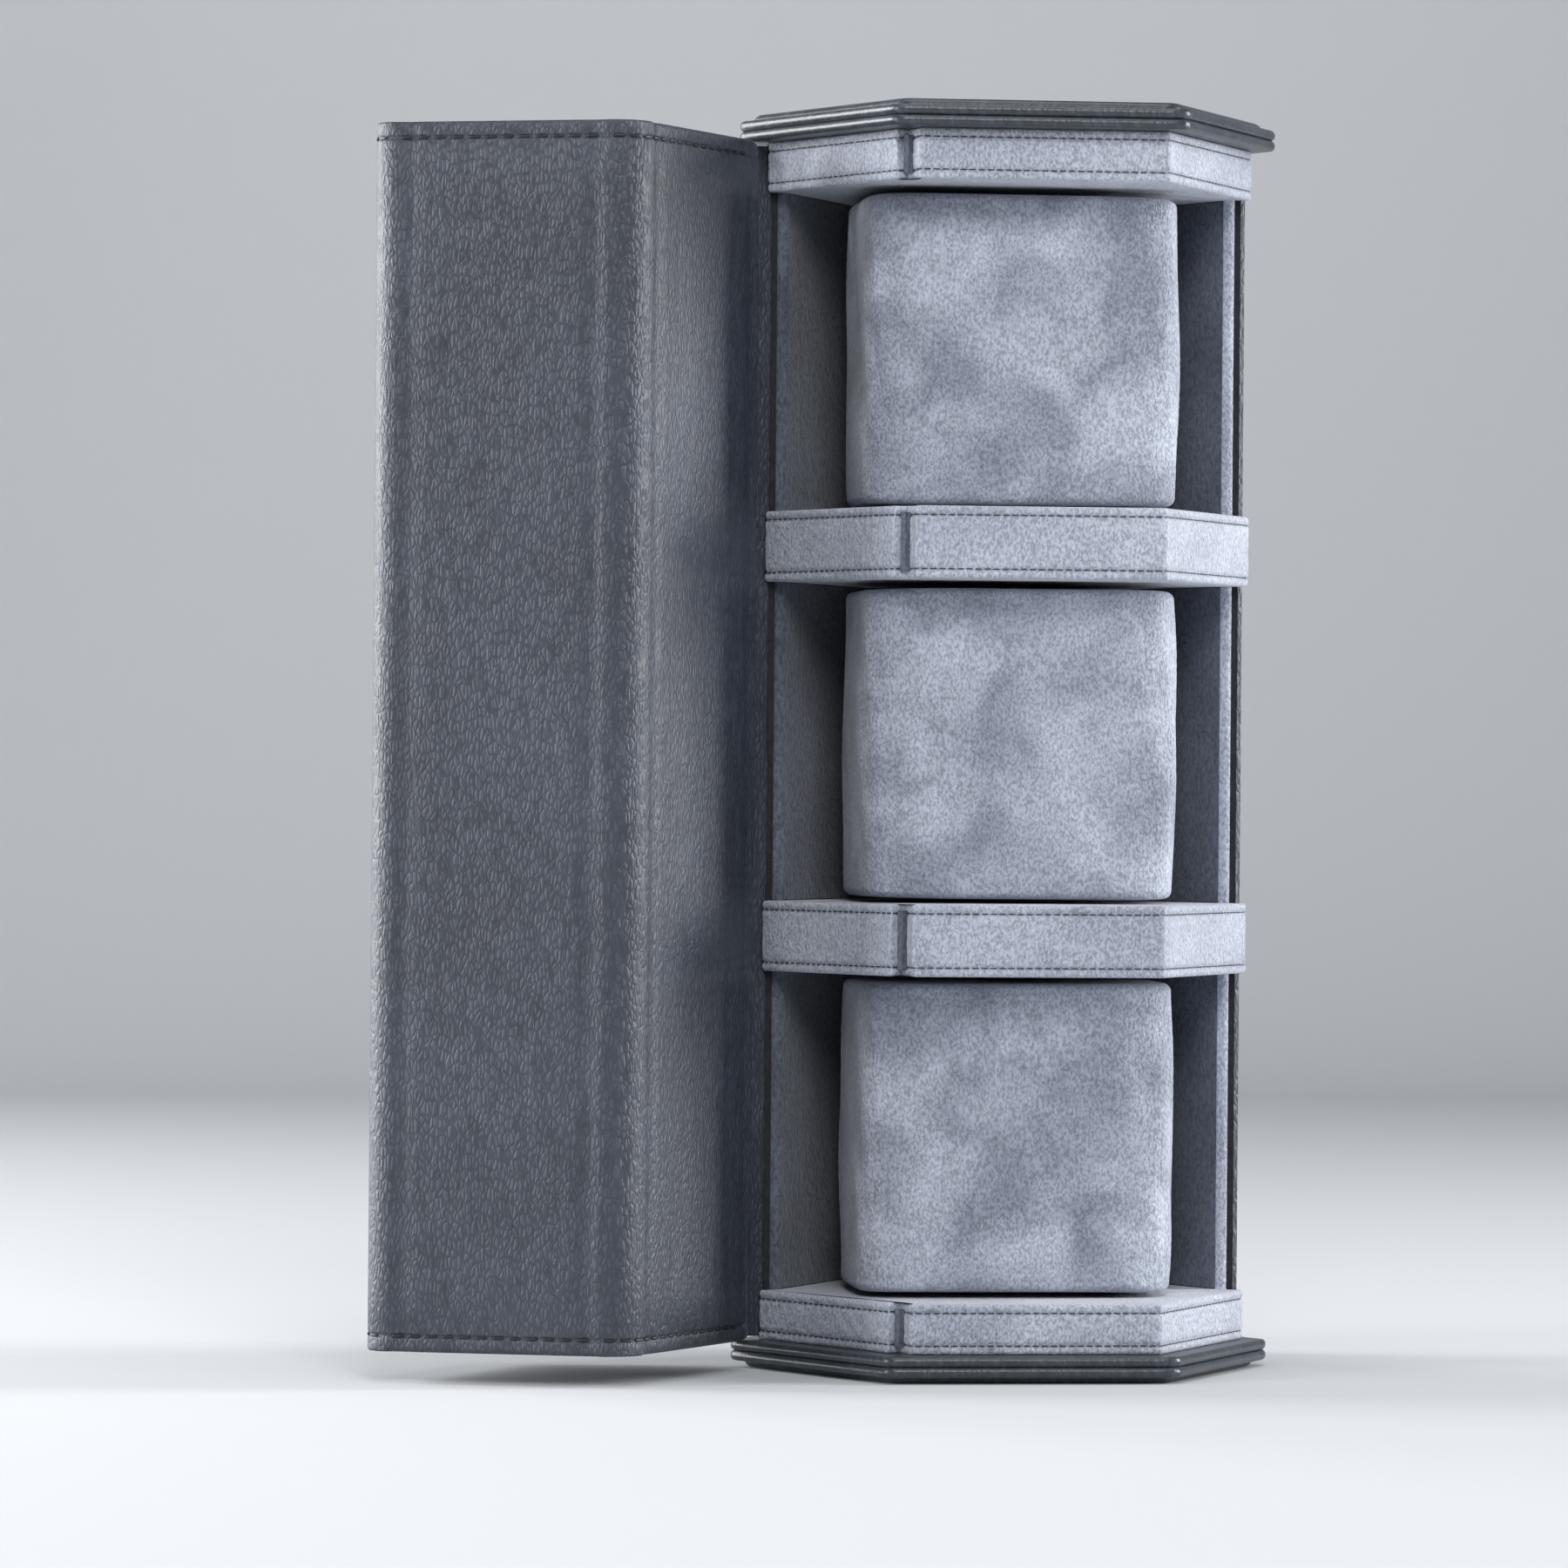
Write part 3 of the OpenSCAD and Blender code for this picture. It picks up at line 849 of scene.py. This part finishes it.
def backPath(inset, radius):
    # From the right front edge round the back to the left, with rounded corners, and its normals
    front, back = tray["wallSetback"], tray["halfDepth"] - inset
    frontX, backX = halfWidthAt(front, inset), halfWidthAt(back, inset)
    corners = np.array([[frontX, front], [backX, back], [-backX, back], [-frontX, front]])
    parts = [corners[:1]]
    for before, corner, after in zip(corners, corners[1:], corners[2:]):
        a, b = before - corner, after - corner
        a, b = a / np.linalg.norm(a), b / np.linalg.norm(b)
        arc = cornerArc(corner + a * radius, corner, corner + b * radius, tray["cornerSteps"])
        parts.append(arc)
    sparse = np.vstack(parts + [corners[3:]])
    full = []
    for p, q in zip(sparse[:-1], sparse[1:]):
        n = max(1, int(np.linalg.norm(q - p) / tray["pathStep"]))
        full.append(p + (q - p) * np.linspace(0, 1, n, endpoint=False)[:, None])
    path = np.vstack(full + [sparse[-1:]])
    return path, pathNormals(path)


halfLeather, halfLining = tray["leather"] / 2, tray["lining"] / 2
endGap = tray["endGap"]
path, normal = backPath(halfLeather, tray["leatherCorner"])
low, high = nodeZ("tray_leather")
band = roundedBand(
    low + endGap, high - endGap, halfLeather, -halfLeather, tray["leatherRound"], groove,
)
shell = sweepProfile("trayLeather", path, normal, band, wrapLeather)
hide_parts("tray_leather")
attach(shell, "tray")
threads = edgeStitches("trayStitches", path, halfLeather, low, high, tray["firstStitch"])
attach(threads, "tray")

path, normal = backPath(tray["coreInset"] + halfLining, tray["liningCorner"])
# Each bay's lining takes the darkened velvet: painted shade inside the bays
for bay in ("lower", "middle", "upper"):
    low, high = nodeZ(bay + "_bay_lining")
    band = roundedBand(
        low + endGap, high - endGap, halfLining - tray["liningGap"], -halfLining,
        tray["liningRound"],
    )
    piece = sweepProfile(bay + "BayLining", path, normal, band, paintedShadeVelvet)
    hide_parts(bay + "_bay_lining")
    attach(piece, "tray")

# Waves are size, turn per millimetre of height, and start
binding = {
    "pastLining": 0.25,
    "pastBoard": 0.9,
    "ahead": 0.75,
    "back": 0.72,
    "bulge": 0.7,
    "power": 0.6,
    "endGap": 0.1,
    "steps": 9,
    "rows": 60,
    "waves": ((0.06, 0.9, 0), (0.05, 0.37, 1)),
}


def wallBinding(name, side, velvet):
    # A soft rounded strip over the board's front edge, standing from cap to cap.
    # Across it, y goes forward by bulge x the sine of the turn to the given power
    low, high = nodeZ("tray_leather")
    y0 = tray["wallSetback"] - binding["ahead"]
    xIn = halfWidthAt(y0, tray["coreInset"] + tray["lining"] + binding["pastLining"])
    xOut = halfWidthAt(y0, tray["coreInset"] - binding["pastBoard"])
    mid, span = (xIn + xOut) / 2, (xOut - xIn) / 2
    t = np.linspace(0, math.pi, binding["steps"])
    ring = np.array([
        [side * (mid + span * math.cos(a)),
         y0 + binding["back"] - binding["bulge"] * math.sin(a) ** binding["power"]] for a in t
    ])
    rows, m = binding["rows"], len(ring)
    z = np.linspace(low + binding["endGap"], high - binding["endGap"], rows)
    wave = sum(size * np.sin(z * turn + start) for size, turn, start in binding["waves"])
    rings = [np.column_stack([ring + [0, w], np.full(m, h)]) for h, w in zip(z, wave)]
    return makePiece(name, np.concatenate(rings), tubeFaces(rows, m), velvet)


# The left binding takes the darkened velvet as painted shade; the right one takes the dividers'
# pale velvet
bindings = (("leftWallBinding", -1, paintedShadeVelvet), ("rightWallBinding", 1, dividerVelvet))
for name, side, velvet in bindings:
    piece = wallBinding(name, side, velvet)
    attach(piece, "tray")
print("tray made")


# The wrap: four stiff panels in a chain, joined by soft leather folds. Lengths are in
# millimetres, dirs in degrees, and blendAtM in metres
wrap = {
    "panelW": 51.0,
    "lastW": 49.0,
    "board": 1.6,
    "foldSetback": 5.4,
    "hingeSetback": 2.2,
    "hingeShare": 0.5,
    "hingeRoom": 0.6,
    "dirs": (170.0, 241.0, 341.0, 417.0),
    "edgeRound": 1.1,
    "foldRound": 0.48,
    "hingeRound": 0.45,
    "foldGap": 0.02,
    "dip": 0.3,
    "dipFrom": 2.6,
    "dipW": 1.7,
    "dipFade": 1.2,
    "liningInset": 1.6,
    "liningRound": 0.3,
    "liningGap": 0.02,
    "backing": 0.6,
    "backingRound": 0.15,
    "freeCorner": 3.2,
    "firstStitch": 1.9,
    "firstFoldStitch": 2.2,
    "lastStitch": 2.5,
    "pathSteps": 80,
    "foldSteps": 17,
    "hingeSteps": 15,
    "blendAtM": 0.12,
}
boardV = halfLeather + wrap["board"]
wrapT = boardV + tray["lining"]
hingeOut = wrapT * wrap["hingeShare"] + wrap["hingeRoom"]
wrapLow, wrapHigh = nodeZ("panel_3_leather")
liningLow, liningHigh = wrapLow + wrap["liningInset"], wrapHigh - wrap["liningInset"]


def heading(deg):
    a = math.radians(deg)
    return np.array([math.cos(a), math.sin(a)])


folds = [np.array([-tray["cornerHalfW"] - hingeOut * sideLen, 0.0])]
for d in wrap["dirs"][:3]:
    folds.append(folds[-1] + wrap["panelW"] * heading(d))


def straightPath(start, deg, u0, u1):
    # Straight along the panel, with a shallow dip just inside each fold where the board ends:
    # dip x e to the minus square of (way from the fold - dipFrom) / dipW, fading in at the fold
    u = np.linspace(u0, u1, wrap["pathSteps"])[:, None]
    outward = heading(deg - 90)
    fromFold = np.minimum(u - u0, u1 - u)
    dip = wrap["dip"] * np.exp(-((fromFold - wrap["dipFrom"]) / wrap["dipW"]) ** 2)
    fade = np.clip(fromFold / wrap["dipFade"], 0, 1)
    path = start + heading(deg) * u - outward * dip * fade
    return path, np.broadcast_to(outward, path.shape).copy()


def roundedFreeEdge(piece, start, deg, width, radius):
    # Rounds the two corners of the free edge: points past the corner arc are drawn back along u
    mesh = piece.data
    co = np.zeros(len(mesh.vertices) * 3)
    mesh.vertices.foreach_get("co", co)
    co = co.reshape(-1, 3) / mm
    along = heading(deg)
    u = (co[:, :2] - start) @ along
    reach = np.minimum(co[:, 2] - wrapLow, wrapHigh - co[:, 2])
    short = np.clip(radius - reach, 0, radius)
    limit = width - radius + np.sqrt(radius ** 2 - short ** 2)
    excess = np.maximum(u - limit, 0)
    co[:, :2] -= along * excess[:, None]
    mesh.vertices.foreach_set("co", (co * mm).ravel())
    mesh.update()


setback, panelW = wrap["foldSetback"], wrap["panelW"]
spans = [
    (wrap["hingeSetback"], panelW - setback),
    (setback, panelW - setback),
    (setback, panelW - setback),
    (setback, wrap["lastW"]),
]
outerBand = roundedBand(wrapLow, wrapHigh, halfLeather, -boardV, wrap["edgeRound"], groove)
liningBand = roundedBand(
    liningLow, liningHigh, -boardV + wrap["liningGap"], -wrapT, wrap["liningRound"],
)
for i, (u0, u1) in enumerate(spans):
    body = f"panel_{i + 1}"
    start, deg, stitchTo = folds[i], wrap["dirs"][i], u1
    path, normal = straightPath(start, deg, u0, u1)
    panel = sweepProfile(f"wrapPanel{i + 1}", path, normal, outerBand, wrapLeather)
    if i == len(spans) - 1:
        roundedFreeEdge(panel, start, deg, wrap["lastW"], wrap["freeCorner"])
        path, normal = straightPath(start, deg, u0, u1 - wrap["liningInset"])
        stitchTo = u1 - wrap["lastStitch"]
    # The panel's inner face takes the darkened velvet: painted shade
    inner = sweepProfile(f"wrapLining{i + 1}", path, normal, liningBand, paintedShadeVelvet)
    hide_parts(body + "_leather", body + "_board")
    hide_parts(body + "_lining")
    outer = start + heading(deg) * np.array([[u0], [stitchTo]])
    threads = edgeStitches(
        f"wrapStitches{i + 1}", outer, halfLeather, wrapLow, wrapHigh, wrap["firstStitch"],
    )
    for piece in (panel, inner, threads):
        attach(piece, body)


def foldPath(i):
    # The arc that meets both panels of a fold squarely: radius = setback / tangent of half the turn
    before = wrap["dirs"][i - 1]
    turn = wrap["dirs"][i] - before
    radius = setback / math.tan(math.radians(turn / 2))
    start = folds[i] - setback * heading(before)
    centre = start + radius * heading(before + 90)
    angles = np.radians(before - 90 + turn * np.linspace(0, 1, wrap["foldSteps"]))
    rays = np.stack([np.cos(angles), np.sin(angles)], 1)
    return centre + radius * rays, rays


foldBand = roundedBand(
    wrapLow + wrap["foldGap"], wrapHigh - wrap["foldGap"], halfLeather, -halfLeather,
    wrap["foldRound"], groove,
)
backingBand = roundedBand(
    liningLow, liningHigh, -halfLeather - wrap["liningGap"], -halfLeather - wrap["backing"],
    wrap["backingRound"],
)
for i in (1, 2, 3):
    path, normal = foldPath(i)
    strip = sweepProfile(f"foldLeather{i + 1}", path, normal, foldBand, wrapLeather)
    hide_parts(f"fold_{i + 1}_strip")
    # The fold's backing takes the darkened velvet: painted shade
    backing = sweepProfile(f"foldLining{i + 1}", path, normal, backingBand, paintedShadeVelvet)
    threads = edgeStitches(
        f"foldStitches{i + 1}", path + normal * halfLeather, 0.0, wrapLow, wrapHigh,
        wrap["firstFoldStitch"],
    )
    for piece in (strip, backing, threads):
        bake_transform(piece)

# The hinge: leather that leaves the tray's left front edge and turns into the first panel
hingeFrom = np.array([-halfWidthAt(tray["wallSetback"], halfLeather), tray["wallSetback"]])
hingeTo = folds[0] + wrap["hingeSetback"] * heading(wrap["dirs"][0])
hingePath = cornerArc(hingeFrom, folds[0], hingeTo, wrap["hingeSteps"])
hingeBand = roundedBand(
    wrapLow, wrapHigh, halfLeather, -halfLeather, wrap["hingeRound"], groove,
)
hinge = sweepProfile("hingeLeather", hingePath, pathNormals(hingePath), hingeBand, wrapLeather)
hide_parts("hinge_strip")
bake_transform(hinge)
print("wrap made")

# What stays as the frame has it: the hidden cores, boards and magnets
kept = {
    # The divider cores take the darkened velvet: painted shade on the floor of each divider's
    # groove
    paintedShadeVelvet: (
        "bottom_block_core", "top_block_core", "lower_divider_core", "upper_divider_core",
    ),
    boardBlack: ("left_wall_board", "back_wall_board", "right_wall_board"),
    magnetSteel: ("tray_magnets", "wrap_magnets"),
}
for material, nodes in kept.items():
    for node in nodes:
        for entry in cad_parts[node].material_slots:
            entry.material = material
